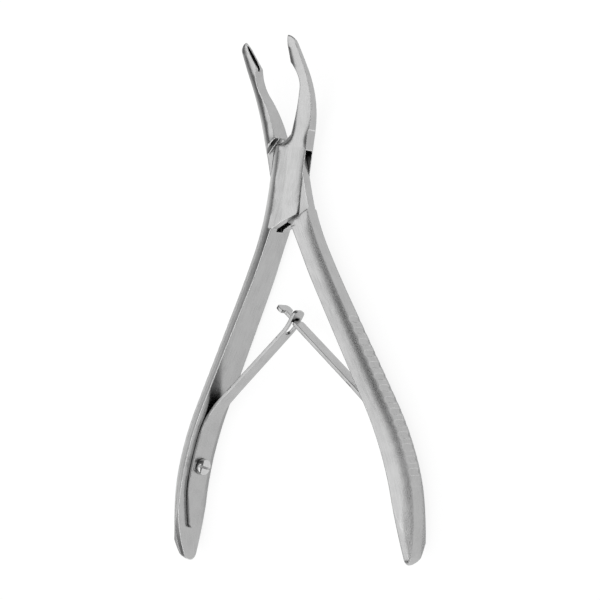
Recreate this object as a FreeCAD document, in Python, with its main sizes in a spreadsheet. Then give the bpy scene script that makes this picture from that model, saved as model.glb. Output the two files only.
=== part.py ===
import FreeCAD, Part
import os
import re

import Sketcher

# A double-spring bone rongeur with curved scoop jaws and a box lock, in millimetres.
# The row frame: +Z up through the thickness, +Y towards the jaws, the pivot axis along Z at x = y = 0,
# and z = 0 on the flat of the lower cheek, on which the lock can rest.
# Each arm is drawn nearly closed: x across towards its own handle, y along towards its jaw, z = 0 half
# way up. The rim of its jaw leans off the y axis by rim_slope, so the jaws meet with each arm turned
# rim_slope further than it is drawn.
# The box arm is the same forging as the tongue arm, mirrored in x.

SIZES = {
    # Stance: the springs hold the arms this far apart
    "open_angle": 22.5,
    # Box lock
    "lock_thickness": 8.2,
    "lock_crown": 0.25,
    "lock_edge_height": 3.3,
    "lock_jaw_reach": 5.9,
    "lock_handle_reach": 6.35,
    "lock_along": 9.5,
    "slot_height": 3.1,
    "tongue_clearance": 0.05,
    "shoulder_angle": 34.5,
    "cheek_low_reach": 11.3,
    "cheek_high_reach": 10.35,
    "shoulder_gap_low": 0.9,
    "shoulder_gap_high": 0.45,
    "slot_high_angle": 37.8,
    "slot_high_reach": 10.75,
    "slot_low_angle": 50.5,
    "slot_low_reach": 11.1,
    "pin_diameter": 3.2,
    "pin_clearance": 0.03,
    # Handle: its flat inner face runs straight, turns out a little, then bows back in
    "handle_length": 116.0,
    "handle_root_across": 1.35,
    "handle_root_slope": 14.7,
    "handle_slope": 18.06,
    "handle_turn_along": 26.0,
    "handle_turn_radius": 120.0,
    "handle_bow_along": 70.0,
    "handle_bow_radius": 90.0,
    "handle_thickness": 5.0,
    "handle_grip_width": 12.0,
    "crest_neck_width": 4.4,
    "crest_grip_width": 6.0,
    "crest_tip_width": 2.4,
    "crest_bulge": 0.25,
    "flank_radius": 16.0,
    "tip_length": 20.0,
    "tip_crest_length": 24.0,
    "tip_depth": 5.0,
    "tip_nose_length": 1.6,
    "tip_nose_width": 5.0,
    "tip_nose_depth": 0.7,
    # Grip scallops across the crest
    "scallop_count": 16,
    "scallop_pitch": 3.55,
    "scallop_first": 45.0,
    "scallop_radius": 1.6,
    "scallop_depth": 0.42,
    # Jaw: bowed in plan, curved up out of the plane, and ending in a scoop
    "jaw_curve_along": 15.0,
    "jaw_curve_radius": 34.0,
    "jaw_curve_angle": 29.0,
    "jaw_run": 35.0,
    "jaw_root_height": 7.8,
    "jaw_end_height": 2.1,
    "jaw_crown_share": 0.42,
    "jaw_edge_share": 0.46,
    "jaw_back_across": 6.22,
    "jaw_back_along": 19.0,
    "jaw_back_radius": 75.0,
    "jaw_notch": 0.9,
    "jaw_inner_radius": 150.0,
    "jaw_waist_along": 27.0,
    "jaw_waist_across": 3.0,
    "jaw_waist_radius": 8.5,
    "rim_along": 33.6,
    "rim_slope": 1.25,
    "rim_clearance": 0.05,
    "scoop_length": 11.0,
    "scoop_tip_length": 8.0,
    "scoop_tip_width": 3.0,
    "scoop_tip_depth": 4.6,
    "scoop_lip": 1.0,
    "scoop_hollow_length": 8.6,
    "scoop_hollow_width": 1.76,
    "scoop_hollow_depth": 2.2,
    # Leaf springs
    "leaf_thickness": 1.1,
    "leaf_seat": 0.02,
    "screw_seat": 0.06,
    "leaf_bend_along": 75.3,
    "leaf_bend_radius": 20.0,
    "leaf_foot_width": 7.2,
    "leaf_blade_width": 5.8,
    "leaf_middle_width": 4.8,
    "leaf_end_width": 4.4,
    "leaf_shoulder": 3.5,
    "leaf_tail_along": 106.5,
    "leaf_tail_taper": 12.0,
    "leaf_tail_width": 2.4,
    "leaf_tail_radius": 30.0,
    "slotted_leaf_angle": 42.0,
    "slotted_leaf_reach": 31.2,
    "slotted_hook_radius": 12.0,
    "slotted_hook_angle": 16.0,
    "slotted_hook_end": 4.3,
    "leaf_slot_width": 2.6,
    "leaf_slot_start": 30.6,
    "leaf_slot_bridge": 2.2,
    "tee_leaf_angle": 38.3,
    "tee_leaf_reach": 33.9,
    "tee_neck_width": 2.0,
    "tee_neck_length": 5.0,
    "tee_head_width": 5.4,
    "tee_head_length": 2.8,
    # Spring screws
    "screw_along": 87.6,
    "screw_head_diameter": 4.9,
    "screw_head_height": 1.9,
    "screw_head_rim": 0.9,
    "screw_crown_diameter": 3.0,
    "screw_shank_diameter": 2.2,
    "screw_shank_depth": 4.2,
    "screw_slot_width": 0.7,
    "screw_slot_depth": 0.9,
    "screw_slot_turn": 12.0,
    "screw_hole_clearance": 0.1,
}

# What follows from the driving sizes, in the frame that an arm is drawn in
WORKED_OUT = {
    "cheek": "lock_thickness / 2",
    "crown_top": "cheek + lock_crown",
    "edge_half": "lock_edge_height / 2",
    "slot_half": "slot_height / 2",
    "tongue_half": "slot_half - tongue_clearance",
    "grip_half": "handle_grip_width / 2",
    "lens_chord": "(lock_jaw_reach + lock_handle_reach) / 2",
    "lens_rise": "crown_top - edge_half",
    "lens_radius": "(lens_chord^2 + lens_rise^2) / (2 * lens_rise)",
    "lens_middle": "(lock_handle_reach - lock_jaw_reach) / 2",
    "root_along": "(cheek_low_reach + handle_root_across * sin(shoulder_angle)) / cos(shoulder_angle)",
    "turn_in_across": "handle_root_across + (handle_turn_along - root_along) * tan(handle_root_slope)",
    "turn_out_across": "turn_in_across + handle_turn_radius * (cos(handle_root_slope) - cos(handle_slope))",
    "turn_out_along": "handle_turn_along + handle_turn_radius * (sin(handle_slope) - sin(handle_root_slope))",
    "bow_across": "turn_out_across + (handle_bow_along - turn_out_along) * tan(handle_slope)",
    "bow_centre_across": "bow_across - handle_bow_radius * cos(handle_slope)",
    "bow_centre_along": "handle_bow_along + handle_bow_radius * sin(handle_slope)",
    "tip_along": "handle_length - tip_length",
    "tip_across": "bow_centre_across + sqrt(handle_bow_radius^2 - (tip_along - bow_centre_along)^2)",
    "tip_nose_along": "handle_length - tip_nose_length",
    "jaw_curve_run": "jaw_curve_radius * jaw_curve_angle * pi / 180",
    "scoop_along": "jaw_curve_along + jaw_curve_radius * sin(jaw_curve_angle)",
    "scoop_rise": "jaw_curve_radius * (1 - cos(jaw_curve_angle))",
    "leaf_half": "leaf_thickness / 2",
    "leaf_radius": "handle_bow_radius - leaf_seat - leaf_half",
    "leaf_bend_lean": "asin((bow_centre_along - leaf_bend_along) / handle_bow_radius)",
    "leaf_tail_lean": "asin((bow_centre_along - leaf_tail_along) / handle_bow_radius)",
    "screw_lean": "asin((bow_centre_along - screw_along) / handle_bow_radius)",
}

doc = FreeCAD.newDocument("bone_rongeur")


def bound(formula):
    """A formula in the sheets' names, as the expression engine reads it."""

    def named(match):
        word = match.group(0)
        if word in SIZES:
            return "sizes." + word
        if word in WORKED_OUT:
            return "worked_out." + word
        return word

    return re.sub(r"[a-z_]{2,}", named, str(formula))


def fill_sheet(name, rows):
    """A sheet with each name in column A and its value, aliased, in column B."""
    sheet = doc.addObject("Spreadsheet::Sheet", name)
    for row, (alias, content) in enumerate(rows.items(), start=1):
        sheet.set(f"A{row}", alias)
        sheet.set(f"B{row}", str(content))
        sheet.setAlias(f"B{row}", alias)
    doc.recompute()
    return sheet


sizes = fill_sheet("sizes", SIZES)
worked_out = fill_sheet("worked_out", {alias: "=" + bound(formula) for alias, formula in WORKED_OUT.items()})


def value(formula):
    """The number that a formula gives now."""
    return float(sizes.evalExpression(bound(formula)))


def add(kind, name, **formulas):
    """A feature whose sizes are bound to formulas."""
    feature = doc.addObject(kind, name)
    for size, formula in formulas.items():
        feature.setExpression(size, bound(formula))
    return feature


def place(feature, across="0", along="0", up="0", axis=(0, 0, 1), angle="0"):
    """Binds where a feature stands and how far it is turned about one axis."""
    feature.Placement = FreeCAD.Placement(FreeCAD.Vector(), FreeCAD.Rotation(FreeCAD.Vector(*axis), 1.0))
    for path, formula in (("Base.x", across), ("Base.y", along), ("Base.z", up), ("Rotation.Angle", angle)):
        feature.setExpression("Placement." + path, bound(formula))
    return feature


def hold(sketch, kind, refs, formula):
    """One dimension of a sketch, bound to a formula."""
    index = sketch.addConstraint(Sketcher.Constraint(kind, *refs, value(formula)))
    sketch.setExpression(f"Constraints[{index}]", bound(formula))


def hold_point(sketch, curve, end, across, up):
    """Both coordinates of one end of a curve, bound to formulas."""
    hold(sketch, "DistanceX", (-1, 1, curve, end), across)
    hold(sketch, "DistanceY", (-1, 1, curve, end), up)


def arc_between(start, end, radius):
    """The shorter arc from start to end, turning left for a positive radius and right for a negative one."""
    side = 1 if radius > 0 else -1
    chord = end - start
    left = FreeCAD.Vector(-chord.y, chord.x, 0).normalize()
    rise = (radius**2 - (chord.Length / 2) ** 2) ** 0.5
    middle = (start + end) * 0.5 + left * side * (rise - abs(radius))
    return Part.Arc(start, middle, end)


def outline(name, corners, arcs=None):
    """A closed sketch through corners, given as pairs of formulas.
    arcs maps the number of a side, counted from its first corner, to its radius: above 0 it turns left."""
    arcs = arcs or {}
    sketch = doc.addObject("Sketcher::SketchObject", name)
    points = [FreeCAD.Vector(value(x), value(y), 0) for x, y in corners]
    ends = []
    for side, start in enumerate(points):
        end = points[(side + 1) % len(points)]
        if side in arcs:
            radius = value(arcs[side])
            sketch.addGeometry(arc_between(start, end, radius))
            ends.append((1, 2) if radius > 0 else (2, 1))
        else:
            sketch.addGeometry(Part.LineSegment(start, end))
            ends.append((1, 2))
    for side, (x, y) in enumerate(corners):
        sketch.addConstraint(Sketcher.Constraint("Coincident", side - 1 if side else len(corners) - 1,
                                                 ends[side - 1][1], side, ends[side][0]))
        hold_point(sketch, side, ends[side][0], x, y)
    for side, radius in arcs.items():
        hold(sketch, "Radius", (side,), f"abs({radius})")
    return sketch


def prism(name, corners, length, arcs=None):
    """An outline in the plan, extruded equally up and down."""
    return extruded(outline(name + "_outline", corners, arcs), name, length)


def extruded(sketch, name, length):
    """A sketch extruded equally to both sides of its plane."""
    solid = add("Part::Extrusion", name, LengthFwd=length)
    solid.Base = sketch
    solid.DirMode = "Normal"
    solid.Symmetric = True
    solid.Solid = True
    return solid


def boolean(kind, name, base, tool):
    """Part::Cut or Part::Common of two features."""
    feature = doc.addObject(kind, name)
    feature.Base = base
    feature.Tool = tool
    return feature


def fused(name, shapes):
    """One solid from several features."""
    feature = doc.addObject("Part::MultiFuse", name)
    feature.Shapes = shapes
    feature.Refine = False
    return feature


def lofted(name, sections):
    """A smooth solid through sections."""
    loft = doc.addObject("Part::Loft", name)
    loft.Sections = sections
    loft.Solid = True
    loft.Ruled = False
    loft.MaxDegree = 2
    return loft


# Sections of the forging. Each has a side face towards the jaw side (low x), two crowned flanks and a
# bulged crest towards the handle side (high x). In a section, x is across and y is up.
def flank_height(middle, top, radius, x):
    """How high a flank's arc stands at x, for an arc of a radius whose highest point is given."""
    return f"({top} - {radius} + sqrt({radius}^2 - ({x} - ({middle}))^2))"


def section(name, low_x, high_x, middle, top, radius, along, up="0", lean="0"):
    """A section from low_x to high_x between two flanks, standing across the arm and leaned back."""
    low = flank_height(middle, top, radius, low_x)
    high = flank_height(middle, top, radius, high_x)
    corners = [(low_x, low), (low_x, f"-{low}"), (high_x, f"-{high}"), (high_x, high)]
    crest = f"(({high})^2 + crest_bulge^2) / (2 * crest_bulge)"
    sketch = outline(name, corners, {1: radius, 2: crest, 3: radius})
    return place(sketch, along=along, up=up, axis=(1, 0, 0), angle=f"90 + {lean}")


def lock_section(name, along):
    """The lens across the lock, crowned above the cheeks' flats."""
    low_x, high_x = "(-1.1 * lock_jaw_reach)", "(lock_handle_reach - crest_bulge)"
    return section(name, low_x, high_x, "lens_middle", "crown_top", "lens_radius", along)


def inner_across(along):
    """How far across the handle's flat inner face lies, at a distance along it from the pivot."""
    if value(along) < value("handle_turn_along"):
        return f"(handle_root_across + ({along} - root_along) * tan(handle_root_slope))"
    if value(along) < value("handle_bow_along"):
        return f"(turn_out_across + ({along} - turn_out_along) * tan(handle_slope))"
    return f"(bow_centre_across + sqrt(handle_bow_radius^2 - ({along} - bow_centre_along)^2))"


def handle_section(name, along, widening, crest_width, radius, spare):
    """A section of the handle, widening from 0 at the lock to 1 at the grip.
    Its flanks reach past the inner face by a spare width, which is cut away afterwards."""
    half = f"(cheek + (grip_half - cheek) * {widening})"
    crest = f"({crest_width} / 2)"
    inner = inner_across(along)
    fall = f"({half} - {crest})"
    chord = f"sqrt(handle_thickness^2 + {fall}^2)"
    reach = f"sqrt({radius}^2 - {chord}^2 / 4)"
    middle = f"({inner} + handle_thickness / 2 - {reach} * {fall} / {chord})"
    top = f"(({half} + {crest}) / 2 - {reach} * handle_thickness / {chord} + {radius})"
    low_x, high_x = f"({inner} - {spare})", f"({inner} + handle_thickness)"
    return section(name, low_x, high_x, middle, top, radius, f"-({along})")


def on_jaw(distance):
    """Along, up and lean where the jaw's middle line has run a distance from the end of the lock."""
    curved = f"({distance} + lock_along - jaw_curve_along)"
    straight = f"({curved} - jaw_curve_run)"
    if value(curved) < 0:
        return f"(lock_along + {distance})", "0", "0"
    if value(straight) < 0:
        lean = f"({curved} / jaw_curve_radius * 180 / pi)"
        rise = f"(jaw_curve_radius * (1 - cos({lean})))"
        return f"(jaw_curve_along + jaw_curve_radius * sin({lean}))", rise, lean
    rise = f"(scoop_rise + {straight} * sin(jaw_curve_angle))"
    return f"(scoop_along + {straight} * cos(jaw_curve_angle))", rise, "jaw_curve_angle"


def jaw_section(name, distance, high_x):
    """A section of the jaw, thinner the farther it stands from the lock, out to a high_x that is cut away."""
    along, up, lean = on_jaw(distance)
    low_x = f"(jaw_back_radius - jaw_back_across - sqrt(jaw_back_radius^2 - ({along} - jaw_back_along)^2))"
    top = f"((jaw_end_height + (jaw_root_height - jaw_end_height) * (1 - {distance} / jaw_run)^1.5) / 2)"
    middle = f"(jaw_crown_share * {low_x})"
    chord, rise = f"({middle} - {low_x})", f"({top} * (1 - jaw_edge_share))"
    radius = f"(({chord}^2 + {rise}^2) / (2 * {rise}))"
    return section(name, low_x, high_x, middle, top, radius, along, up, lean)


def handle_and_lock():
    """The handle and the lock as one smooth run of sections, an equal step apart."""
    start = "(handle_length + 3)"
    step = f"(({start} + lock_along) / 9)"
    # How far each has widened, its flank's radius and the spare width past the inner face
    stations = [
        (1.0, "flank_radius", 2.0),
        (1.0, "flank_radius", 2.0),
        (1.0, "flank_radius", 2.0),
        (0.98, "flank_radius", 2.0),
        (0.82, "flank_radius", 2.0),
        (0.6, "flank_radius", 2.0),
        (0.36, "flank_radius", 3.0),
        (0.15, "(0.75 * flank_radius)", 5.5),
    ]
    # The crest narrows over the first two, at the handle's end
    narrowing = {0: "crest_tip_width", 1: "((crest_grip_width + crest_tip_width) / 2)"}
    sections = []
    for number, (widening, radius, spare) in enumerate(stations):
        along = f"({start} - {number} * {step})"
        widened = f"(crest_neck_width + (crest_grip_width - crest_neck_width) * {widening})"
        crest = narrowing.get(number, widened)
        sections.append(handle_section(f"handle_section_{number}", along, widening, crest, radius, spare))
    sections.append(lock_section("lock_section_low", f"(lock_along - {step})"))
    sections.append(lock_section("lock_section_high", "lock_along"))
    return lofted("handle_and_lock", sections)


def jaw():
    """The jaw from the lock to past its tip as one smooth run of sections, an equal step apart."""
    count = 10
    sections = [lock_section("jaw_section_0", "lock_along")]
    for number in range(1, count + 1):
        distance = f"({number} * jaw_run / {count})"
        # The first stands in the lock's corner, so it reaches farther across than the rest
        sections.append(jaw_section(f"jaw_section_{number}", distance, "1.2" if number == 1 else "0.3"))
    return lofted("jaw", sections)


def inner_side():
    """All that lies on the jaw side of the lock and inside the handle, to be cut away."""
    low_corner = "-(cheek_low_reach - lock_jaw_reach * sin(shoulder_angle)) / cos(shoulder_angle)"
    end_along = "(handle_length + 5)"
    end_across = f"bow_centre_across + sqrt(handle_bow_radius^2 - ({end_along} - bow_centre_along)^2)"
    corners = [
        ("-lock_jaw_reach", "jaw_curve_along"),
        ("-lock_jaw_reach", low_corner),
        ("handle_root_across", "-root_along"),
        ("turn_in_across", "-handle_turn_along"),
        ("turn_out_across", "-turn_out_along"),
        ("bow_across", "-handle_bow_along"),
        (end_across, f"-{end_along}"),
        ("-20", f"-{end_along}"),
        ("-20", "jaw_curve_along"),
    ]
    return prism("inner_side", corners, "40", {3: "handle_turn_radius", 5: "-handle_bow_radius"})


def on_rim(along):
    """How far across the rim's plane lies, at a distance along it from the pivot."""
    return f"-(rim_clearance + ({along}) * tan(rim_slope))"


def outer_side():
    """All past the high end of the lock and past the jaw's inner side and rim, to be cut away."""
    notch_along = "(cheek_high_reach + jaw_notch * sin(shoulder_angle)) / cos(shoulder_angle)"
    far = "(lock_handle_reach + 4)"
    far_along = f"(cheek_high_reach - {far} * sin(shoulder_angle)) / cos(shoulder_angle)"
    corners = [
        (far, far_along),
        (far, "60"),
        (on_rim("60"), "60"),
        (on_rim("rim_along"), "rim_along"),
        ("-jaw_waist_across", "jaw_waist_along"),
        ("-jaw_notch", notch_along),
    ]
    return prism("outer_side", corners, "80", {3: "jaw_waist_radius", 4: "-jaw_inner_radius"})


def beyond(name, corners, thickness):
    """All above and below a slab of a thickness, within an outline in the plan."""
    block = prism(name + "_block", corners, "30")
    return boolean("Part::Cut", name, block, prism(name + "_slab", corners, thickness))


def tangent_radius(run, fall):
    """The radius of an arc that starts straight on and falls aside by a distance over a run."""
    return f"((({run})^2 + ({fall})^2) / (2 * ({fall})))"


def handle_tip():
    """All outside the handle's rounded end, which narrows to a nose both in plan and seen from the side."""
    crest_along = "(handle_length - tip_crest_length)"
    block = add("Part::Box", "handle_tip_block", Length="30", Width="30", Height="30")
    place(block, across="tip_across - 15", along=f"-({crest_along} + 30)", up="-15")
    run = "(tip_nose_along - tip_along)"
    half, nose_half = "(grip_half + 0.1)", "(tip_nose_width / 2)"
    side_radius = tangent_radius(run, f"{half} - {nose_half}")
    side = seen_from_side("handle_tip_side", [
        ("-tip_along", f"-{half}"), ("-tip_nose_along", f"-{nose_half}"), ("-tip_nose_along", nose_half),
        ("-tip_along", half), ("-(tip_along - 10)", half), ("-(tip_along - 10)", f"-{half}"),
    ], {0: f"-{side_radius}", 1: f"-1.1 * {nose_half}", 2: f"-{side_radius}"})
    crest_radius = tangent_radius(f"(tip_nose_along - {crest_along})", "tip_depth - tip_nose_depth")
    plan = prism("handle_tip_plan", [
        ("tip_across + tip_depth", f"-{crest_along}"), ("tip_across + tip_nose_depth", "-tip_nose_along"),
        ("tip_across - 3", "-(handle_length + 0.4)"), ("tip_across - 10", "-(handle_length + 0.4)"),
        ("tip_across - 10", f"-({crest_along} - 1)"), ("tip_across + tip_depth", f"-({crest_along} - 1)"),
    ], "40", {0: f"-{crest_radius}", 1: "-6"})
    return boolean("Part::Cut", "handle_tip", block, boolean("Part::Common", "handle_tip_kept", plan, side))


def on_scoop(reach):
    """Across, along and up of the point on the rim's middle line where the scoop has run a reach."""
    along = f"(scoop_along + {reach} * cos(jaw_curve_angle))"
    return on_rim(along), along, f"(scoop_rise + {reach} * sin(jaw_curve_angle))"


def scoop_tip():
    """All outside an ellipsoid that rounds off the scoop's back and tip."""
    size = "20"
    across, along, up = on_scoop("(scoop_length - scoop_tip_length)")
    block = add("Part::Box", "scoop_tip_block", Length=size, Width=size, Height=size)
    place(block, f"-{size} / 2", f"{along} + {size} / 2 * sin(jaw_curve_angle)",
          f"{up} - {size} / 2 * cos(jaw_curve_angle)", (1, 0, 0), "jaw_curve_angle")
    rounding = add("Part::Ellipsoid", "scoop_tip_rounding", Radius1="scoop_tip_width / 2",
                   Radius2="scoop_tip_depth", Radius3="scoop_tip_length")
    place(rounding, across, along, up, (1, 0, 0), "jaw_curve_angle")
    return boolean("Part::Cut", "scoop_tip", block, rounding)


def scoop_hollow():
    """The bite of the scoop, sunk from its rim."""
    hollow = add("Part::Ellipsoid", "scoop_hollow", Radius1="scoop_hollow_width / 2",
                 Radius2="scoop_hollow_depth", Radius3="scoop_hollow_length / 2")
    middle = "(scoop_length - scoop_lip - scoop_hollow_length / 2)"
    return place(hollow, *on_scoop(middle), (1, 0, 0), "jaw_curve_angle")


def scallops():
    """Shallow round grooves across the crest of the grip, an equal step apart."""
    tools = []
    for number in range(round(value("scallop_count"))):
        along = f"(scallop_first + {number} * scallop_pitch)"
        tool = add("Part::Cylinder", f"scallop_{number}", Radius="scallop_radius", Height="16")
        crest = f"{inner_across(along)} + handle_thickness + crest_bulge"
        tools.append(place(tool, f"{crest} + scallop_radius - scallop_depth", f"-{along}", "-8"))
    return tools


def on_handle(name, pieces):
    """Carries pieces, drawn from the centre of the handle's bow along +x, to where the screw stands."""
    carrier = doc.addObject("Part::Compound", name)
    carrier.Links = pieces
    return place(carrier, "bow_centre_across", "-bow_centre_along", angle="screw_lean")


def screw_hole(name):
    """The hole for a spring's screw, square to the handle's inner face."""
    hole = add("Part::Cylinder", name + "_bore", Radius="screw_shank_diameter / 2 + screw_hole_clearance",
               Height="leaf_thickness + screw_shank_depth + 1")
    place(hole, "leaf_radius - leaf_half - 0.5", axis=(0, 1, 0), angle="90")
    return on_handle(name, [hole])


def blank():
    """The forging of one arm: handle, lock and jaw, before it is cut as the box or as the tongue."""
    body = fused("forging", [handle_and_lock(), jaw()])
    wide = "(2 * lock_handle_reach)"
    flats = beyond("cheek_flats", [(f"-{wide}", "-root_along"), (wide, "-root_along"), (wide, "lock_along"),
                                   (f"-{wide}", "lock_along")], "lock_thickness")
    tools = [inner_side(), outer_side(), handle_tip(), scoop_tip(), scoop_hollow(), flats, *scallops(),
             screw_hole("screw_hole")]
    return boolean("Part::Cut", "blank", body, fused("blank_cuts", tools))


def line_across(angle, reach, across):
    """The along at an across, on a line that climbs towards +x at an angle and passes the pivot at a
    distance, above 0 on the jaw side."""
    return f"(({reach}) + ({across}) * sin({angle})) / cos({angle})"


def strip(low_angle, low_reach, high_angle, high_reach):
    """The corners of the strip across the lock between two lines."""
    low_x, high_x = "(-2 * lock_jaw_reach)", "(2 * lock_handle_reach)"
    return [
        (low_x, line_across(low_angle, low_reach, low_x)),
        (high_x, line_across(low_angle, low_reach, high_x)),
        (high_x, line_across(high_angle, high_reach, high_x)),
        (low_x, line_across(high_angle, high_reach, low_x)),
    ]


def in_stance(name, base, tools, side):
    """A piece of one arm, cut from its base and brought to its open stance in the row frame. The tongue
    arm's pieces are on side 1, and the box arm's, mirrored, on side -1."""
    cuts = fused(name + "_cuts", tools) if len(tools) > 1 else tools[0]
    if side > 0:
        piece = boolean("Part::Cut", name, base, cuts)
    else:
        piece = doc.addObject("Part::Mirroring", name)
        piece.Source = boolean("Part::Cut", name + "_drawn", base, cuts)
        piece.Normal = FreeCAD.Vector(1, 0, 0)
    return place(piece, up="lock_thickness / 2", angle=f"{side} * (open_angle / 2 - rim_slope)")


def pin_hole(name, clearance):
    """The pin's hole through the lock."""
    hole = add("Part::Cylinder", name, Radius=f"pin_diameter / 2 + {clearance}", Height="lock_thickness + 2")
    return place(hole, up="-(lock_thickness + 2) / 2")


def tongue_arm(forging):
    """The arm that passes through the other: cut down to a tongue between its two shoulders."""
    shoulders = strip("shoulder_angle", "-(cheek_low_reach + shoulder_gap_low)", "shoulder_angle",
                      "cheek_high_reach + shoulder_gap_high")
    tools = [beyond("beside_tongue", shoulders, "2 * tongue_half"), pin_hole("tongue_hole", "pin_clearance")]
    return in_stance("tongue_arm", forging, tools, 1)


def box_arm(forging):
    """The arm with the box: slotted right through for the other's tongue."""
    slot = strip("slot_low_angle", "-slot_low_reach", "slot_high_angle", "slot_high_reach")
    return in_stance("box_arm", forging, [prism("slot", slot, "slot_height"), pin_hole("box_hole", "0")], -1)


def pivot_pin():
    """The pin, riveted flush with both cheeks."""
    return add("Part::Cylinder", "pivot_pin", Radius="pin_diameter / 2", Height="lock_thickness")


def round_the_bow(radius, lean):
    """A point at a radius from the centre of the handle's bow, where the bow leans by an angle."""
    along = f"-(bow_centre_along - ({radius}) * sin({lean}))"
    return f"bow_centre_across + ({radius}) * cos({lean})", along


def onward(point, length, angle):
    """A point moved by a length in a leaf's direction, at an angle from the arm's own axis."""
    return f"{point[0]} - ({length}) * sin({angle})", f"{point[1]} + ({length}) * cos({angle})"


def aside(point, length, angle):
    """A point moved square to a leaf's direction, away from the leaf's hollow side."""
    return f"{point[0]} + ({length}) * cos({angle})", f"{point[1]} + ({length}) * sin({angle})"


def leaf(name, profile, arcs, edges, edge_arcs):
    """A leaf bent to a profile in plan, with its edges trimmed to an outline seen from the side."""
    bent = prism(name + "_bent", profile, "leaf_foot_width + 2", arcs)
    return boolean("Part::Common", name + "_strip", bent, seen_from_side(name + "_edges", edges, edge_arcs))


def seen_from_side(name, corners, arcs=None):
    """An outline in along and up, extruded right across the arm."""
    return place(prism(name, corners, "120", arcs), axis=(1, 1, 1), angle="120")


def leaf_profile(angle, straight, hook):
    """A leaf's two faces in plan, from tail to end, and the arcs in them. hook is the end's hooked part as
    a radius, an angle and a length, or None."""
    bend = round_the_bow("leaf_radius - leaf_bend_radius", "leaf_bend_lean")
    faces, ends = [], []
    for side in ("1", "-1"):
        offset = f"{side} * leaf_half"
        reach = f"leaf_radius + {offset}"
        foot = [round_the_bow(reach, "leaf_tail_lean"), round_the_bow(reach, "leaf_bend_lean")]
        turned = aside(bend, f"leaf_bend_radius + {offset}", angle)
        face = [*foot, turned, onward(turned, straight, angle)]
        if hook:
            radius, turn, length = hook
            centre = aside(onward(aside(bend, "leaf_bend_radius", angle), straight, angle), radius, angle)
            hooked = aside(centre, f"-({radius} - {offset})", f"({angle} - {turn})")
            face += [hooked, onward(hooked, length, f"({angle} - {turn})")]
        faces.append(face)
    outer, inner = faces
    arcs = {0: "leaf_radius + leaf_half", 1: "leaf_bend_radius + leaf_half"}
    last = len(outer) + len(inner) - 2
    arcs.update({last: "-(leaf_radius - leaf_half)", last - 1: "-(leaf_bend_radius - leaf_half)"})
    if hook:
        arcs.update({3: f"-({hook[0]} - leaf_half)", last - 3: f"{hook[0]} + leaf_half"})
    return outer + inner[::-1], arcs


def leaf_edges(end):
    """A leaf's outline seen from the side, from its rounded tail to an end given as corners of one edge."""
    edge = [
        ("-(leaf_tail_along - leaf_tail_width / 2)", "leaf_tail_width / 2"),
        ("-(leaf_tail_along - leaf_tail_taper)", "leaf_foot_width / 2"),
        ("-leaf_bend_along", "leaf_foot_width / 2"),
        ("-(leaf_bend_along - leaf_shoulder)", "leaf_blade_width / 2"),
        ("-(leaf_bend_along - 4 * leaf_shoulder)", "leaf_middle_width / 2"),
        *end,
    ]
    mirrored = [(along, f"-({half})") for along, half in edge]
    last = 2 * len(edge) - 1
    arcs = {0: "leaf_tail_radius", last - 1: "leaf_tail_radius", last: "0.55 * leaf_tail_width"}
    return mirrored + edge[::-1], arcs


def along_blade(angle, distance):
    """How far along the arm a leaf has come, at a distance from the end of its bend."""
    bend = round_the_bow("leaf_radius - leaf_bend_radius", "leaf_bend_lean")
    return onward(aside(bend, "leaf_bend_radius", angle), distance, angle)[1]


def slotted_leaf_spring(name):
    """The leaf of the box arm: its hooked end is slotted for the other's neck."""
    angle = "slotted_leaf_angle"
    turned = "(slotted_leaf_angle - slotted_hook_angle)"
    profile, arcs = leaf_profile(angle, "slotted_leaf_reach",
                                 ("slotted_hook_radius", "slotted_hook_angle", "slotted_hook_end"))
    edges, edge_arcs = leaf_edges([(along_blade(angle, "leaf_slot_start - 2"), "leaf_end_width / 2"),
                                   (along_blade(angle, "leaf_slot_start + 20"), "leaf_end_width / 2")])
    start = along_blade(angle, "leaf_slot_start")
    hooked = f"slotted_hook_radius * (sin({angle}) - sin({turned}))"
    past_hook = f"(slotted_hook_end - leaf_slot_bridge) * cos({turned})"
    end = f"({along_blade(angle, 'slotted_leaf_reach')} + {hooked} + {past_hook})"
    half = "leaf_slot_width / 2"
    corners = [(start, f"-{half}"), (end, f"-{half}"), (end, half), (start, half)]
    cuts = [screw_hole(name + "_hole"), seen_from_side(name + "_slot", corners)]
    return in_stance(name, leaf(name, profile, arcs, edges, edge_arcs), cuts, -1)


def tee_leaf_spring(name):
    """The leaf of the tongue arm: its end is narrowed to a neck behind a head wider than the slot."""
    angle = "tee_leaf_angle"
    profile, arcs = leaf_profile(angle, "(tee_leaf_reach + tee_neck_length + tee_head_length)", None)
    neck = along_blade(angle, "tee_leaf_reach")
    head = along_blade(angle, "(tee_leaf_reach + tee_neck_length)")
    far = along_blade(angle, "(tee_leaf_reach + tee_neck_length + tee_head_length + 3)")
    edges, edge_arcs = leaf_edges([(neck, "leaf_end_width / 2"), (neck, "tee_neck_width / 2"),
                                   (head, "tee_neck_width / 2"), (head, "tee_head_width / 2"),
                                   (far, "tee_head_width / 2")])
    cuts = [screw_hole(name + "_hole")]
    return in_stance(name, leaf(name, profile, arcs, edges, edge_arcs), cuts, 1)


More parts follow.
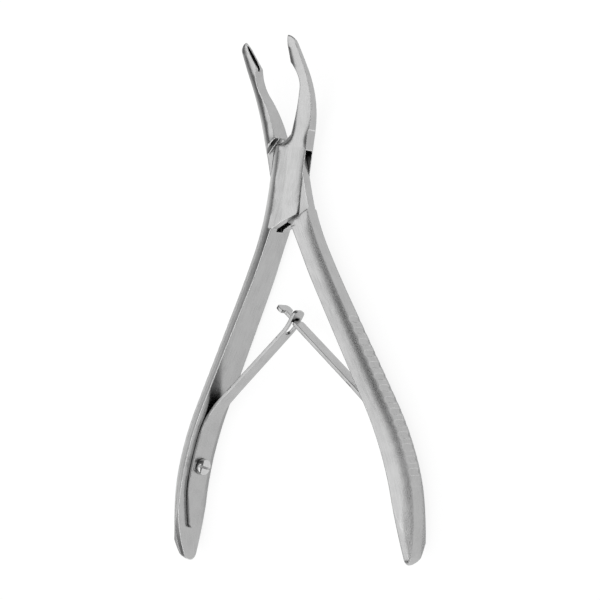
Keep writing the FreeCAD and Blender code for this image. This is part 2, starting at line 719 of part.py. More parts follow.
def leaf_screw(name, side):
    """A slotted screw with a tapered crown that holds a leaf's foot to the handle."""
    height, radius = "screw_head_height", "(screw_head_diameter / 2)"
    cap = "(screw_head_height - screw_head_rim)"
    reach = "(screw_shank_depth + leaf_thickness + leaf_seat + screw_seat)"
    shank = add("Part::Cylinder", name + "_shank", Radius="screw_shank_diameter / 2", Height=reach)
    place(shank, up=f"-{reach}")
    disc = add("Part::Cylinder", name + "_disc", Radius=radius, Height="screw_head_rim")
    crown = add("Part::Cone", name + "_crown", Radius1=radius, Radius2="screw_crown_diameter / 2", Height=cap)
    place(crown, up="screw_head_rim")
    whole = fused(name + "_whole", [shank, disc, crown])
    place(whole, "leaf_radius - leaf_half - screw_seat", axis=(0, 1, 0), angle="-90")
    # The driver slot runs along the handle's width, turned a little
    long, wide = "(screw_head_diameter + 1)", "screw_slot_width"
    slot = add("Part::Box", name + "_slot", Length=long, Width=wide, Height="screw_slot_depth + 1")
    place(slot, f"-({long} * cos(screw_slot_turn) - {wide} * sin(screw_slot_turn)) / 2",
          f"-({long} * sin(screw_slot_turn) + {wide} * cos(screw_slot_turn)) / 2",
          f"{height} - screw_slot_depth", angle="screw_slot_turn")
    slot_carrier = doc.addObject("Part::Compound", name + "_slot_turned")
    slot_carrier.Links = [slot]
    place(slot_carrier, "leaf_radius - leaf_half - screw_seat", axis=(0, 1, 0), angle="-90")
    cuts = [on_handle(name + "_cut", [slot_carrier])]
    return in_stance(name, on_handle(name + "_on_handle", [whole]), cuts, side)


forging = blank()
pieces = [
    box_arm(forging),
    tongue_arm(forging),
    pivot_pin(),
    slotted_leaf_spring("slotted_leaf_spring"),
    tee_leaf_spring("tee_leaf_spring"),
    leaf_screw("slotted_leaf_screw", -1),
    leaf_screw("tee_leaf_screw", 1),
]
doc.recompute()

for feature in doc.Objects:
    if "Invalid" in feature.State or "Error" in feature.State:
        raise RuntimeError(f"{feature.Name} failed: {feature.State}")
os.makedirs("parts", exist_ok=True)
for piece in pieces:
    shape = piece.Shape
    if shape.isNull() or not shape.isValid() or len(shape.Solids) != 1:
        raise RuntimeError(f"{piece.Name} is not one valid solid")
    shape.exportStep(f"parts/{piece.Label}.step")
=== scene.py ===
import bmesh
import bpy
import math
from mathutils import Matrix, Vector
from mathutils.geometry import interpolate_bezier


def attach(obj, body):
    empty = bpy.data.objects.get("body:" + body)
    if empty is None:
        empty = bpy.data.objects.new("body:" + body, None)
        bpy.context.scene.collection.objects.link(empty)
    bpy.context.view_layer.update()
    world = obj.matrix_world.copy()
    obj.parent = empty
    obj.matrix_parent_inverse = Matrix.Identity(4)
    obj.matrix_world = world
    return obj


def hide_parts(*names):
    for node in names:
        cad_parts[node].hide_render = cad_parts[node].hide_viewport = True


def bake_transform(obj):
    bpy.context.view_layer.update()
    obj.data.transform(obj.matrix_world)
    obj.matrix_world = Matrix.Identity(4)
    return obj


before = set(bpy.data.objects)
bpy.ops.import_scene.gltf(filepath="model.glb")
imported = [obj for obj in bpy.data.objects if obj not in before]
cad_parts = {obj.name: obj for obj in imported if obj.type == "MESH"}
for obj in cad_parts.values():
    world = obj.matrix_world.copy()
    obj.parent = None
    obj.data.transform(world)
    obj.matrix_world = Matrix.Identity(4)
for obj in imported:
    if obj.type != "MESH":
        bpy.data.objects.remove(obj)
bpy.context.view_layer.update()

# Lengths are in millimetres until MM brings them to metres. Angles are in degrees, the camera's in radians.
MM = 0.001
MIDDLE = 4.1
STANCE = 10.0

# Camera, fitted to the photograph: 40 degrees round towards the tongue arm's handle, a little low
AZIMUTH, ELEVATION, ROLL = 0.6981, -0.0812, 0.0126
CAMERA_DISTANCE = 590.588
TARGET_ALONG = -35.0
TARGET_PIXEL = 291.608
PIXELS = 600
PIXELS_PER_MM = 3.4485
SENSOR = 36.0
CLIP = (10.0, 20000.0)

# The handle's inner face, in the frame that an arm is drawn in: across towards its handle, along towards its
# jaw. It goes straight from the pivot to its root, from there to its turn and to the start of a round bow.
BOW_ACROSS, BOW_ALONG, BOW_RADIUS = -67.105, -97.901, 90.0
BOW_START = -70.0
ROOT_ACROSS, ROOT_ALONG = 1.35, -14.64
TURN_ACROSS, TURN_ALONG = 5.3, -29.4
HANDLE_END, JAW_END = -116.0, 40.0
# The arms' steel follows that face by a curve of so many spans, with heights as shares of a width
LINE_STEPS = 12
LINE_SCALE = 30.0

# Where polishing has rolled the arms' edges over: each pair is where a soft step begins and where it is full
RIDGE_ACROSS, RIDGE_UP, RIDGE_ALONG = (0.8, 2.8), (1.4, 2.4), (-10.0, -18.0)
LOCK_ALONG, LOCK_ACROSS, LOCK_UP = (8.6, 7.4), (4.4, 3.4), (3.2, 3.6)
LOCK_SHARE = 0.4
CHEEK_SLOPE = 34.5
RIDGE_ROUNDING, END_ROUNDING = 4.5, 8.0
END_ALONG = (-92.0, -106.0)
PIN_RADIUS, PIN_MARGIN, HAIRLINE = 1.615, 0.03, 0.01

# Finishes of the steel: how far in from an edge its rounding and painted highlight reach, and the width and
# length of a polishing streak. Real streaks are a tenth as wide, drawn coarser so that they show.
ARM_EDGE_REACH, LEAF_EDGE_REACH, SCREW_EDGE_REACH = 0.42, 0.06, 0.12
ARM_STREAK, LEAF_STREAK, SCREW_STREAK = (0.12, 5.0), (0.15, 3.0), (0.3, 0.3)
STREAK_DEPTH = 0.003
STREAK_SPAN, STREAK_TONE, STREAK_ROUGH = (0.25, 0.75), (0.9, 1.04), 0.04
MOTTLE_WIDTH = 3.846
MOTTLE_SPAN, MOTTLE_TONE, MOTTLE_ROUGH = (0.3, 0.7), (0.96, 1.02), 0.03
# Painted highlight on the edges: where the rounded normal's turn from the face's own begins and where it is
# full
EDGE_HIGHLIGHT_SPAN = (0.985, 0.86)
# Painted shade in the narrow gaps: how far the occlusion reaches, its span, and the tone it darkens the
# colour to
GAP_REACH, GAP_SPAN, GAP_SHADE_TONE = 3.5, (0.12, 0.72), (0.06, 1.0)
BEVEL_SAMPLES, GAP_SAMPLES = 6, 8

# Leaf springs: each lies in the bow of its handle from its tail, bends off it and runs straight
LEAF_THICKNESS, LEAF_EDGE = 1.1, 0.16
LEAF_RADIUS = 89.43
LEAF_TAIL, LEAF_BEND = -5.483, 14.544
LEAF_LYING = 31.26
LEAF_BEND_RADIUS = 20.0
SLOTTED_ANGLE, SLOTTED_STRAIGHT = 42.0, 31.2
HOOK_RADIUS, HOOK_TURN, HOOK_STRAIGHT = 12.0, 16.0, 4.3
TEE_ANGLE, TEE_STRAIGHT = 38.3, 41.7
SLOTTED_GRAIN, TEE_GRAIN = -52.0, 48.3
# Two distances from a leaf's tail, at which points of its middle line are found
BLEND = (30.0, 52.0)
# Lower edge of both: distance from the tail, height off the middle and rounding of the corner
LEAF_LOWER = [(0.0, -1.3, 1.3), (12.0, -3.6, 30.0), (31.0, -3.55, 20.0), (36.5, -2.75, 25.0),
              (46.0, -2.4, 60.0)]
# It is cut across at this pitch to be bent, from a first cut that stays clear of the outline's own points
LEAF_CUT_PITCH, LEAF_FIRST_CUT = 0.9, 0.437
BLADE_HALF = 2.2
# From the end of the bend: where the slotted leaf's eye and slot begin, and the tee leaf's neck and head
EYE_START, SLOT_START, NECK_START, HEAD_START = 28.6, 30.6, 33.9, 38.9
SLOT_BRIDGE, SLOT_HALF, SLOT_CORNER = 2.2, 1.3, 1.25
NECK_HALF, NECK_SHOULDER, HEAD_HALF = 1.0, 0.1, 2.7

# Outlines: a rounding is a Bezier curve. Its handles stand at QUARTER_GRIP of the way to a square corner, and
# GRIP_RISE further for each radian that the corner is more open. It takes up less than half of each side.
QUARTER_GRIP, GRIP_RISE = 0.552, 0.1
CURVE_POINTS = 7
HALF_SIDE = 0.499
NO_CORNER = 0.01
SHARPEST = 0.5
WELD = 1e-4
# A plate's edge is rounded through these turns, and its shading leans on its broad faces
EDGE_TURNS = (0, 45, 90)
FACE_WEIGHT = 90

# Spring screws: radius and height up the head, from the handle to the crown
SCREW_PROFILE = [(2.2, -0.3), (2.2, -0.02), (2.38, 0.02), (2.45, 0.14), (2.45, 1.25), (2.38, 1.46),
                 (2.16, 1.7), (1.76, 1.92), (1.2, 2.09), (0.62, 2.18)]
SCREW_CROWN = 2.2
SCREW_SIDES = 48
SCREW_LEAN, SCREW_BASE = 6.572, 88.82
DRIVER_SLOT = (6.0, 0.75, 2.0)
DRIVER_UP, DRIVER_TURN = 2.1, 12.0
SCREW_CREASE = 32.0

# Floor and studio. The edges of the softbox are soft steps in how far a direction goes aside or lengthways
# for each unit that it rises, and those of the wall are soft steps in the direction itself.
PAPER_SIZE, PAPER_UP = 6000.0, -2.0
PAPER_GLOW, PAPER_SHARE = 1.1, 0.8
BOX_LIGHT, ROOM_LIGHT, WALL_LIGHT = 1.4, 0.15, 0.6
BOX_SIDE, BOX_JAW_END, BOX_HANDLE_END = (1.25, 0.95), (0.86, 0.55), (-3.6, -2.6)
WALL_ASIDE, WALL_UP = (-0.6, -0.9), (0.45, 0.15)
LEAST_RISE = 0.02


def linear(code):
    """A hex sRGB colour as linear RGBA."""
    channels = [int(code[i:i + 2], 16) / 255 for i in (1, 3, 5)]
    return [c / 12.92 if c <= 0.04045 else ((c + 0.055) / 1.055) ** 2.4 for c in channels] + [1.0]


def in_stance(across, along, up, side):
    """A point of an arm's own frame, where the arm stands. The tongue arm has side 1, the box arm -1."""
    turn = math.radians(STANCE * side)
    x = side * across
    return Vector((x * math.cos(turn) - along * math.sin(turn), x * math.sin(turn) + along * math.cos(turn),
                   MIDDLE + up)) * MM


def inner_line(along):
    """How far across the handle's inner face lies, at a distance along the arm."""
    if along > ROOT_ALONG:
        return ROOT_ACROSS * max(0.0, along / ROOT_ALONG)
    if along > TURN_ALONG:
        return ROOT_ACROSS + (TURN_ACROSS - ROOT_ACROSS) * (along - ROOT_ALONG) / (TURN_ALONG - ROOT_ALONG)
    bow = BOW_ACROSS + math.sqrt(BOW_RADIUS**2 - (min(along, BOW_START) - BOW_ALONG) ** 2)
    if along > BOW_START:
        return TURN_ACROSS + (bow - TURN_ACROSS) * (along - TURN_ALONG) / (BOW_START - TURN_ALONG)
    return bow


def camera():
    """The camera that took the photograph."""
    back = Vector((math.sin(AZIMUTH) * math.cos(ELEVATION), math.sin(ELEVATION),
                   math.cos(AZIMUTH) * math.cos(ELEVATION)))
    right = Vector((math.cos(AZIMUTH), 0, -math.sin(AZIMUTH)))
    up = back.cross(right)
    side = math.cos(ROLL) * right - math.sin(ROLL) * up
    top = math.sin(ROLL) * right + math.cos(ROLL) * up
    data = bpy.data.cameras.new("camera")
    data.sensor_width = SENSOR
    data.lens = PIXELS_PER_MM * CAMERA_DISTANCE / PIXELS * SENSOR
    data.shift_x = (PIXELS / 2 - TARGET_PIXEL) / PIXELS
    data.clip_start, data.clip_end = (length * MM for length in CLIP)
    eye = bpy.data.objects.new("camera", data)
    bpy.context.scene.collection.objects.link(eye)
    place = Vector((0, TARGET_ALONG * MM, MIDDLE * MM)) + back * CAMERA_DISTANCE * MM
    turn = Matrix((side, top, back)).transposed()
    eye.matrix_world = Matrix.Translation(place) @ turn.to_4x4()
    bpy.context.scene.camera = eye


def add(tree, kind, inputs=None, **settings):
    """A node with its settings. inputs gives a socket, by name or number, a value or an output to follow."""
    node = tree.nodes.new(kind)
    for key, setting in settings.items():
        setattr(node, key, setting)
    for key, given in (inputs or {}).items():
        if isinstance(given, bpy.types.NodeSocket):
            tree.links.new(given, node.inputs[key])
        else:
            node.inputs[key].default_value = given
    return node


def past_inner_face(tree, across, along):
    """How far across an arm a point lies past the handle's inner face."""
    share = add(tree, "ShaderNodeMapRange", {0: along, 1: HANDLE_END * MM, 2: JAW_END * MM}).outputs[0]
    line = add(tree, "ShaderNodeFloatCurve", {"Value": share})
    points = []
    for step in range(LINE_STEPS + 1):
        station = HANDLE_END + (JAW_END - HANDLE_END) * step / LINE_STEPS
        points.append((step / LINE_STEPS, inner_line(station) / LINE_SCALE))
    curve = line.mapping.curves[0]
    curve.points[0].location, curve.points[1].location = points[0], points[-1]
    for point in points[1:-1]:
        curve.points.new(*point)
    line.mapping.update()
    inner = add(tree, "ShaderNodeMath", {0: line.outputs[0], 1: LINE_SCALE * MM}, operation="MULTIPLY")
    return add(tree, "ShaderNodeMath", {0: across, 1: inner.outputs[0]}, operation="SUBTRACT").outputs[0]


def rolled_edges(tree, turned, axes, across, crisp):
    """Where an arm's edges are rolled over instead of crisp, and the rounding of its edges all over."""
    rise = add(tree, "ShaderNodeMath", {0: axes["Z"], 1: MIDDLE * MM}, operation="SUBTRACT").outputs[0]
    off_middle = add(tree, "ShaderNodeMath", {0: rise}, operation="ABSOLUTE").outputs[0]
    aside = add(tree, "ShaderNodeMath", {0: across}, operation="ABSOLUTE").outputs[0]
    # The cheeks of the lock end on a slant
    slope = math.radians(CHEEK_SLOPE)
    ahead = add(tree, "ShaderNodeMath", {0: axes["Y"], 1: math.cos(slope)}, operation="MULTIPLY").outputs[0]
    off = add(tree, "ShaderNodeMath", {0: across, 1: math.sin(slope)}, operation="MULTIPLY").outputs[0]
    slant = add(tree, "ShaderNodeMath", {0: ahead, 1: off}, operation="ADD").outputs[0]
    over = add(tree, "ShaderNodeMath", {0: slant}, operation="ABSOLUTE").outputs[0]
    # First the ridge between flank and crest, then the crown of the lock between the ends of the cheeks
    regions = []
    for steps in (((across, RIDGE_ACROSS, 1.0), (off_middle, RIDGE_UP, 1.0), (axes["Y"], RIDGE_ALONG, 1.0)),
                  ((over, LOCK_ALONG, 1.0), (aside, LOCK_ACROSS, 1.0), (off_middle, LOCK_UP, LOCK_SHARE))):
        region = 1.0
        for source, (low, high), most in steps:
            step = add(tree, "ShaderNodeMapRange", {0: source, 1: low * MM, 2: high * MM, 4: most},
                       interpolation_type="SMOOTHSTEP").outputs[0]
            region = add(tree, "ShaderNodeMath", {0: region, 1: step}, operation="MULTIPLY").outputs[0]
        regions.append(region)
    rolled = add(tree, "ShaderNodeMath", {0: regions[0], 1: regions[1]}, operation="MAXIMUM").outputs[0]
    low, high = END_ALONG
    widest = add(tree, "ShaderNodeMapRange",
                 {0: axes["Y"], 1: low * MM, 2: high * MM, 3: RIDGE_ROUNDING * MM, 4: END_ROUNDING * MM},
                 interpolation_type="SMOOTHSTEP").outputs[0]
    rounding = add(tree, "ShaderNodeMath", {0: rolled, 1: widest}, operation="MULTIPLY").outputs[0]
    radius = add(tree, "ShaderNodeMath", {0: rounding, 1: crisp * MM}, operation="MAXIMUM").outputs[0]
    # The flush pin's fine joint stays a hairline
    flat = add(tree, "ShaderNodeVectorMath", {0: turned, 1: (1, 1, 0)}, operation="MULTIPLY").outputs[0]
    away = add(tree, "ShaderNodeVectorMath", {0: flat}, operation="LENGTH").outputs["Value"]
    past = add(tree, "ShaderNodeMath", {0: away, 1: PIN_RADIUS * MM}, operation="SUBTRACT").outputs[0]
    off_joint = add(tree, "ShaderNodeMath", {0: past}, operation="ABSOLUTE").outputs[0]
    clear = add(tree, "ShaderNodeMath", {0: off_joint, 1: PIN_MARGIN * MM}, operation="SUBTRACT").outputs[0]
    limit = add(tree, "ShaderNodeMath", {0: clear, 1: HAIRLINE * MM}, operation="MAXIMUM").outputs[0]
    return rolled, add(tree, "ShaderNodeMath", {0: radius, 1: limit}, operation="MINIMUM").outputs[0]


def steel(name, colour, roughness, edge, streak, side=0, grain=0.0):
    """Stainless steel polished along the piece, with a painted highlight on its edges and painted shade in
    its narrow gaps.

    On an arm, side is 1 or -1 and the streaks follow the handle. On other pieces grain turns the streaks.
    """
    material = bpy.data.materials.new(name)
    material.use_nodes = True
    tree = material.node_tree
    shader = tree.nodes["Principled BSDF"]
    shader.inputs["Metallic"].default_value = 1.0

    place = add(tree, "ShaderNodeTexCoord").outputs["Object"]
    turn = math.radians(-STANCE * side - grain)
    turned = add(tree, "ShaderNodeVectorRotate", {"Vector": place, "Angle": turn},
                 rotation_type="Z_AXIS").outputs[0]
    axes = add(tree, "ShaderNodeSeparateXYZ", {0: turned}).outputs
    across = add(tree, "ShaderNodeMath", {0: axes["X"], 1: side or 1}, operation="MULTIPLY").outputs[0]
    radius = edge * MM
    if side:
        across = past_inner_face(tree, across, axes["Y"])
        rolled, radius = rolled_edges(tree, turned, axes, across, edge)

    # Polishing streaks, and the slow unevenness of a hand polish
    width, length = (1 / (size * MM) for size in streak)
    spot = add(tree, "ShaderNodeCombineXYZ", {"X": across, "Y": axes["Y"], "Z": axes["Z"]}).outputs[0]
    drawn = add(tree, "ShaderNodeVectorMath", {0: spot, 1: (width, length, width)},
                operation="MULTIPLY").outputs[0]
    streaks = add(tree, "ShaderNodeTexNoise", {"Vector": drawn, "Scale": 1.0, "Detail": 2.0}).outputs[0]
    mottle = add(tree, "ShaderNodeTexNoise", {"Vector": place, "Scale": 1 / (MOTTLE_WIDTH * MM),
                                              "Detail": 3.0}).outputs[0]

    # Painted highlight on the edges: the colour goes to near white where the rounded normal leaves the face's
    # own
    bevel = add(tree, "ShaderNodeBevel", {"Radius": radius}, samples=BEVEL_SAMPLES).outputs[0]
    own = add(tree, "ShaderNodeNewGeometry").outputs["Normal"]
    facing = add(tree, "ShaderNodeVectorMath", {0: bevel, 1: own}, operation="DOT_PRODUCT").outputs["Value"]
    low, high = EDGE_HIGHLIGHT_SPAN
    edge_highlight = add(tree, "ShaderNodeMapRange", {0: facing, 1: low, 2: high},
               interpolation_type="SMOOTHSTEP").outputs[0]
    if side:
        crisp = add(tree, "ShaderNodeMath", {0: 1.0, 1: rolled}, operation="SUBTRACT").outputs[0]
        edge_highlight = add(tree, "ShaderNodeMath", {0: edge_highlight, 1: crisp}, operation="MULTIPLY").outputs[0]

    # Painted shade: the narrow gaps are darkened towards black by how closed in they are
    gap_shade = add(tree, "ShaderNodeAmbientOcclusion", {"Distance": GAP_REACH * MM},
              samples=GAP_SAMPLES).outputs["AO"]
    shares = []
    for source, (low, high), (start, end) in (
            (gap_shade, GAP_SPAN, GAP_SHADE_TONE),
            (streaks, STREAK_SPAN, STREAK_TONE),
            (mottle, MOTTLE_SPAN, MOTTLE_TONE),
            (streaks, STREAK_SPAN, (roughness + STREAK_ROUGH, roughness - STREAK_ROUGH)),
            (mottle, MOTTLE_SPAN, (MOTTLE_ROUGH, 0.0))):
        shares.append(add(tree, "ShaderNodeMapRange", {0: source, 1: low, 2: high, 3: start, 4: end},
                          interpolation_type="SMOOTHSTEP").outputs[0])
    gap_shade_tone, streak_tone, mottle_tone, streak_rough, mottle_rough = shares
    # The colour: darkened by the painted gap shade, the streaks and the mottle, then lifted to near white by
    # the painted edge highlight
    tone = add(tree, "ShaderNodeMath", {0: streak_tone, 1: gap_shade_tone}, operation="MULTIPLY").outputs[0]
    tone = add(tree, "ShaderNodeMath", {0: tone, 1: mottle_tone}, operation="MULTIPLY").outputs[0]
    toned = add(tree, "ShaderNodeMix", {"Factor": tone, "A": linear("#000000"), "B": linear(colour)},
                data_type="RGBA").outputs["Result"]
    shown = add(tree, "ShaderNodeMix", {"Factor": edge_highlight, "A": toned, "B": linear("#F2F2F2")},
                data_type="RGBA").outputs["Result"]
    rough = add(tree, "ShaderNodeMath", {0: streak_rough, 1: mottle_rough}, operation="ADD").outputs[0]
    relief = add(tree, "ShaderNodeBump", {"Height": streaks, "Normal": bevel, "Strength": 1.0,
                                          "Distance": STREAK_DEPTH * MM}).outputs[0]
    for source, socket in ((shown, "Base Color"), (rough, "Roughness"), (relief, "Normal")):
        tree.links.new(source, shader.inputs[socket])
    return material


def leaf_path(angle, hook, straight):
    """The runs of a leaf's middle line and its start. A run is its kind, its size and its two directions."""
    runs = [("arc", LEAF_RADIUS, LEAF_TAIL, LEAF_BEND), ("arc", LEAF_BEND_RADIUS, LEAF_BEND, angle),
            ("line", straight, angle, angle)]
    if hook:
        back = angle - HOOK_TURN
        runs += [("arc", -HOOK_RADIUS, angle, back), ("line", HOOK_STRAIGHT, back, back)]
    lean = math.radians(LEAF_TAIL)
    return runs, Vector((BOW_ACROSS + LEAF_RADIUS * math.cos(lean), BOW_ALONG + LEAF_RADIUS * math.sin(lean)))


def along_leaf(runs, start, distance):
    """Where a leaf's middle line has got to after a distance, and its direction there."""
    position = start.copy()
    for number, (kind, size, first, last) in enumerate(runs):
        begin, end = math.radians(first), math.radians(last)
        length = size if kind == "line" else abs(size * (end - begin))
        part = distance if number == len(runs) - 1 else min(distance, length)
        if kind == "line":
            heading = begin
            position += part * Vector((-math.sin(begin), math.cos(begin)))
        else:
            heading = begin + part / size
            position += size * (Vector((math.cos(heading), math.sin(heading)))
                                - Vector((math.cos(begin), math.sin(begin))))
        distance -= part
        if distance <= 0:
            break
    return position, heading


def neighbours(loop):
    """Each point of a closed outline, between the one before it and the one after it."""
    return zip(loop[-1:] + loop[:-1], loop, loop[1:] + loop[:1])


def inset(loop, distance):
    """A closed outline moved inward, for an outline that runs anticlockwise."""
    moved = []
    for before, here, after in neighbours(loop):
        first, second = (here - before).normalized(), (after - here).normalized()
        middle = Vector((-first.y - second.y, first.x + second.x)).normalized()
        reach = max(SHARPEST, middle.dot(Vector((-first.y, first.x))))
        moved.append(here + middle * distance / reach)
    return moved


def rounded(corners):
    """An outline with its corners rounded. Each corner is its two coordinates and its radius."""
    points = []
    for before, here, after in neighbours(corners):
        spot = Vector(here[:2])
        to_before, to_after = Vector(before[:2]) - spot, Vector(after[:2]) - spot
        turn = to_before.angle(to_after)
        reach = min(here[2] / math.tan(turn / 2), HALF_SIDE * to_before.length, HALF_SIDE * to_after.length)
        if reach < NO_CORNER:
            points.append(spot)
            continue
        first, last = spot + to_before.normalized() * reach, spot + to_after.normalized() * reach
        grip = QUARTER_GRIP + GRIP_RISE * (turn - math.pi / 2)
        curve = interpolate_bezier(first, first.lerp(spot, grip), last.lerp(spot, grip), last, CURVE_POINTS)
        points += [Vector(point[:2]) for point in curve]
    return points


def plate(outline, holes, thickness, edge, cuts):
    """A flat plate with rounded edges, cut across at each of cuts so that it can be bent."""
    shape = bmesh.new()
    levels = []
    for face, turns in ((1, EDGE_TURNS), (-1, EDGE_TURNS[::-1])):
        for turn in turns:
            angle = math.radians(turn)
            height = thickness / 2 - edge * (1 - math.cos(angle))
            levels.append((edge * (1 - math.sin(angle)), face * height))
    rims = ([], [])
    for loop, way in [(outline, 1)] + [(hole, -1) for hole in holes]:
        rings = [[shape.verts.new((point.x, point.y, height)) for point in inset(loop, way * depth)]
                 for depth, height in levels]
        steps = [(here, (here + 1) % len(loop)) for here in range(len(loop))]
        for upper, lower in zip(rings, rings[1:]):
            for here, after in steps:
                quad = (upper[here], lower[here], lower[after], upper[after])
                shape.faces.new(quad if way > 0 else quad[::-1])
        for rim, ring in zip(rims, (rings[0], rings[-1])):
            rim.extend(shape.edges.get((ring[here], ring[after])) for here, after in steps)
    for rim in rims:
        bmesh.ops.triangle_fill(shape, edges=rim, use_beauty=True)
    for cut in cuts:
        geometry = shape.verts[:] + shape.edges[:] + shape.faces[:]
        bmesh.ops.bisect_plane(shape, geom=geometry, plane_co=(cut, 0, 0), plane_no=(1, 0, 0), dist=WELD)
    bmesh.ops.remove_doubles(shape, verts=shape.verts[:], dist=WELD)
    return shape


def as_object(shape, name):
    """A bmesh as an object of the scene, with its faces turned outward."""
    bmesh.ops.recalc_face_normals(shape, faces=shape.faces[:])
    data = bpy.data.meshes.new(name)
    shape.to_mesh(data)
    shape.free()
    made = bpy.data.objects.new(name, data)
    bpy.context.scene.collection.objects.link(made)
    return made


def leaf(name, side, path, ends, holes, material):
    """A leaf spring: a trimmed strip, bent along its path and stood on its handle."""
    lower = [*LEAF_LOWER, *ends]
    outline = rounded(lower + [(along, -height, corner) for along, height, corner in reversed(lower)])
    reach = max(point.x for point in outline)
    cuts = [LEAF_CUT_PITCH * number + LEAF_FIRST_CUT for number in range(int(reach / LEAF_CUT_PITCH) + 1)]
    shape = plate(outline, holes, LEAF_THICKNESS, LEAF_EDGE, cuts)
    for vertex in shape.verts:
        distance, up, out = vertex.co
        middle, heading = along_leaf(*path, distance)
        spot = middle + out * Vector((math.cos(heading), math.sin(heading)))
        vertex.co = in_stance(spot.x, spot.y, up, side)
    piece = as_object(shape, name)
    piece.data.shade_smooth()
    piece.data.materials.append(material)
    piece.modifiers.new("flat_faces", "WEIGHTED_NORMAL").weight = FACE_WEIGHT
    return piece


def screw(name, side, material):
    """A slotted screw with a domed head, its crown turned smooth."""
    shape = bmesh.new()
    rings = []
    for radius, height in SCREW_PROFILE:
        angles = [math.tau * number / SCREW_SIDES for number in range(SCREW_SIDES)]
        rings.append([shape.verts.new((radius * math.cos(angle), radius * math.sin(angle), height))
                      for angle in angles])
    steps = [(here, (here + 1) % SCREW_SIDES) for here in range(SCREW_SIDES)]
    for lower, upper in zip(rings, rings[1:]):
        for here, after in steps:
            shape.faces.new((lower[here], lower[after], upper[after], upper[here]))
    crown = shape.verts.new((0, 0, SCREW_CROWN))
    for here, after in steps:
        shape.faces.new((rings[-1][here], rings[-1][after], crown))
    shape.faces.new(rings[0][::-1])

    cutter = bmesh.new()
    bmesh.ops.create_cube(cutter, size=1.0)
    turn = math.radians(DRIVER_TURN)
    for vertex in cutter.verts:
        x, y, z = (share * size for share, size in zip(vertex.co, DRIVER_SLOT))
        vertex.co = (x * math.cos(turn) - y * math.sin(turn), x * math.sin(turn) + y * math.cos(turn),
                     z + DRIVER_UP)

    # The slot is milled while the head is still in millimetres
    head, tool = as_object(shape, name), as_object(cutter, name + "_cutter")
    mill = head.modifiers.new("slot", "BOOLEAN")
    mill.operation, mill.solver, mill.object = "DIFFERENCE", "EXACT", tool
    bpy.context.view_layer.update()
    milled = bpy.data.meshes.new_from_object(head.evaluated_get(bpy.context.evaluated_depsgraph_get()))
    head.modifiers.clear()
    head.data = milled
    bpy.data.objects.remove(tool)

    lean = math.radians(SCREW_LEAN)
    for vertex in milled.vertices:
        wide, tall, out = vertex.co.x, vertex.co.y, SCREW_BASE - vertex.co.z
        vertex.co = in_stance(BOW_ACROSS + out * math.cos(lean) - tall * math.sin(lean),
                              BOW_ALONG + out * math.sin(lean) + tall * math.cos(lean), wide, side)
    placed = bmesh.new()
    placed.from_mesh(milled)
    bmesh.ops.recalc_face_normals(placed, faces=placed.faces[:])
    placed.to_mesh(milled)
    placed.free()
    milled.materials.clear()
    milled.materials.append(material)
    milled.shade_smooth()
    milled.set_sharp_from_angle(angle=math.radians(SCREW_CREASE))
    return head


camera()

# Forged stainless steel, glass-beaded and satin polished along the arm: an even soft grey that brightens in
# long bands, with a painted highlight as a bright line along each edge
tongue_steel = steel("satin_steel_tongue_arm", "#B4B4B4", 0.23, ARM_EDGE_REACH, ARM_STREAK, side=1)
box_steel = steel("satin_steel_box_arm", "#B4B4B4", 0.23, ARM_EDGE_REACH, ARM_STREAK, side=-1)
# Rolled spring steel, ground along the leaf: the same grey with a fine straight grain and thin sharp edges
slotted_steel = steel("spring_steel_slotted_leaf", "#B4B4B4", 0.25, LEAF_EDGE_REACH, LEAF_STREAK,
                      grain=SLOTTED_GRAIN)
tee_steel = steel("spring_steel_tee_leaf", "#B4B4B4", 0.25, LEAF_EDGE_REACH, LEAF_STREAK, grain=TEE_GRAIN)
# Stainless steel turned on a lathe: smooth and paler, so that the crowns of the screws glint
turned_steel = steel("turned_steel", "#CACACA", 0.12, SCREW_EDGE_REACH, SCREW_STREAK)

for node, material in (("box_arm", box_steel), ("tongue_arm", tongue_steel), ("pivot_pin", box_steel)):
    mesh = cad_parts[node].data
    mesh.materials.clear()
    mesh.materials.append(material)

# Leaf springs: the slotted leaf ends in an eye, and the tee leaf in a neck and a head that hook into it
slotted_path = leaf_path(SLOTTED_ANGLE, True, SLOTTED_STRAIGHT)
tee_path = leaf_path(TEE_ANGLE, False, TEE_STRAIGHT)
slotted_bend = LEAF_LYING + math.radians(SLOTTED_ANGLE - LEAF_BEND) * LEAF_BEND_RADIUS
tee_bend = LEAF_LYING + math.radians(TEE_ANGLE - LEAF_BEND) * LEAF_BEND_RADIUS
slotted_end = slotted_bend + SLOTTED_STRAIGHT + HOOK_RADIUS * math.radians(HOOK_TURN) + HOOK_STRAIGHT
tee_end = tee_bend + TEE_STRAIGHT
slot_start, slot_end = slotted_bend + SLOT_START, slotted_end - SLOT_BRIDGE
slot_hole = rounded([(slot_start, -SLOT_HALF, SLOT_CORNER), (slot_end, -SLOT_HALF, SLOT_CORNER),
                     (slot_end, SLOT_HALF, SLOT_CORNER), (slot_start, SLOT_HALF, SLOT_CORNER)])
eye = [(slotted_bend + EYE_START, -BLADE_HALF, 4.0), (slotted_end, -BLADE_HALF, 1.3)]
slotted_leaf = leaf("slotted_leaf", -1, slotted_path, eye, [slot_hole], slotted_steel)
neck, head = tee_bend + NECK_START, tee_bend + HEAD_START
tee = [(neck, -BLADE_HALF, 0.8), (neck + NECK_SHOULDER, -NECK_HALF, 0.6), (head, -NECK_HALF, 0.4),
       (head, -HEAD_HALF, 0.9), (tee_end, -HEAD_HALF, 1.3)]
tee_leaf = leaf("tee_leaf", 1, tee_path, tee, [], tee_steel)
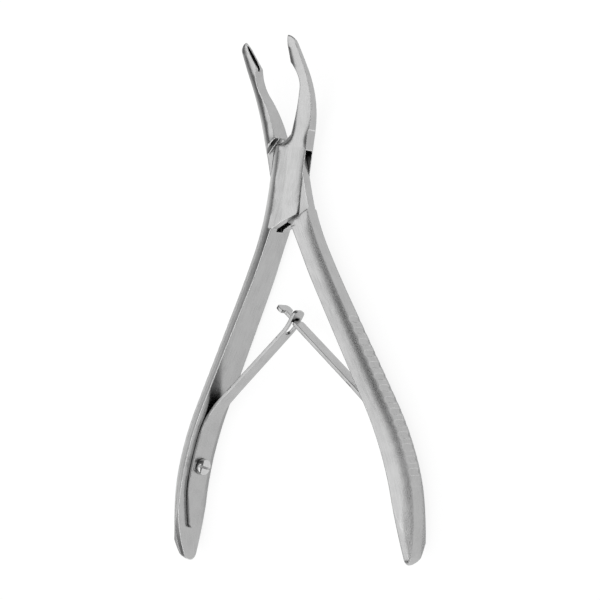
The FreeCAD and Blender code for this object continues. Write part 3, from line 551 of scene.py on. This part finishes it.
for piece, node, side, body, handle, path in (
        (slotted_leaf, "slotted_leaf_spring", -1, "slotted_leaf", "box_side", slotted_path),
        (tee_leaf, "tee_leaf_spring", 1, "tee_leaf", "tongue_side", tee_path)):
    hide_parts(node)
    start, end = (along_leaf(*path, distance)[0] for distance in BLEND)
    in_stance(*start, 0, side)
    in_stance(*end, 0, side)
    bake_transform(piece)

for name, side, body in (("slotted_leaf_screw", -1, "box_side"), ("tee_leaf_screw", 1, "tongue_side")):
    piece = screw(name + "_head", side, turned_steel)
    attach(piece, body)
    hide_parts(name)

# Floor: matt white paper that glows to the eye and in the steel, and still takes the object's soft shadow
bpy.ops.mesh.primitive_plane_add(size=PAPER_SIZE * MM, location=(0, 0, PAPER_UP * MM))
floor = bpy.context.object
floor.name = "floor"
paper = bpy.data.materials.new("white_paper")
paper.use_nodes = True
tree = paper.node_tree
tree.nodes.clear()
rays = add(tree, "ShaderNodeLightPath").outputs
seen = add(tree, "ShaderNodeMath", {0: rays["Is Camera Ray"], 1: rays["Is Glossy Ray"]}, operation="MAXIMUM")
share = add(tree, "ShaderNodeMath", {0: seen.outputs[0], 1: PAPER_SHARE}, operation="MULTIPLY").outputs[0]
matt = add(tree, "ShaderNodeBsdfDiffuse", {"Color": linear("#E8E8E8")}).outputs[0]
glow = add(tree, "ShaderNodeEmission", {"Color": linear("#FFFFFF"), "Strength": PAPER_GLOW}).outputs[0]
mixed = add(tree, "ShaderNodeMixShader", {0: share, 1: matt, 2: glow}).outputs[0]
add(tree, "ShaderNodeOutputMaterial", {"Surface": mixed})
floor.data.materials.append(paper)

# Studio: one softbox overhead in a dim room, and a white wall off to the left that is seen only low down
world = bpy.data.worlds.new("studio")
bpy.context.scene.world = world
world.use_nodes = True
tree = world.node_tree
tree.nodes.clear()
direction = add(tree, "ShaderNodeTexCoord").outputs["Generated"]
way = add(tree, "ShaderNodeSeparateXYZ", {0: direction}).outputs
rise = add(tree, "ShaderNodeMath", {0: way["Z"], 1: LEAST_RISE}, operation="MAXIMUM").outputs[0]
aside = add(tree, "ShaderNodeMath", {0: way["X"], 1: rise}, operation="DIVIDE").outputs[0]
sideways = add(tree, "ShaderNodeMath", {0: aside}, operation="ABSOLUTE").outputs[0]
lengthways = add(tree, "ShaderNodeMath", {0: way["Y"], 1: rise}, operation="DIVIDE").outputs[0]
shapes = []
for steps in (((sideways, BOX_SIDE), (lengthways, BOX_JAW_END), (lengthways, BOX_HANDLE_END)),
              ((way["X"], WALL_ASIDE), (way["Z"], WALL_UP))):
    shape = 1.0
    for source, (low, high) in steps:
        step = add(tree, "ShaderNodeMapRange", {0: source, 1: low, 2: high}, interpolation_type="SMOOTHSTEP")
        shape = add(tree, "ShaderNodeMath", {0: shape, 1: step.outputs[0]}, operation="MULTIPLY").outputs[0]
    shapes.append(shape)
softbox = add(tree, "ShaderNodeMapRange", {0: shapes[0], 3: ROOM_LIGHT, 4: BOX_LIGHT},
              interpolation_type="SMOOTHSTEP").outputs[0]
wall = add(tree, "ShaderNodeMath", {0: shapes[1], 1: WALL_LIGHT}, operation="MULTIPLY").outputs[0]
level = add(tree, "ShaderNodeMath", {0: softbox, 1: wall}, operation="MAXIMUM").outputs[0]
rays = add(tree, "ShaderNodeLightPath").outputs
lit = add(tree, "ShaderNodeBackground", {"Color": linear("#FFFFFF"), "Strength": level}).outputs[0]
white = add(tree, "ShaderNodeBackground", {"Color": linear("#FFFFFF")}).outputs[0]
mixed = add(tree, "ShaderNodeMixShader", {0: rays["Is Camera Ray"], 1: lit, 2: white}).outputs[0]
add(tree, "ShaderNodeOutputWorld", {"Surface": mixed})

bpy.context.scene.view_settings.view_transform = "Standard"
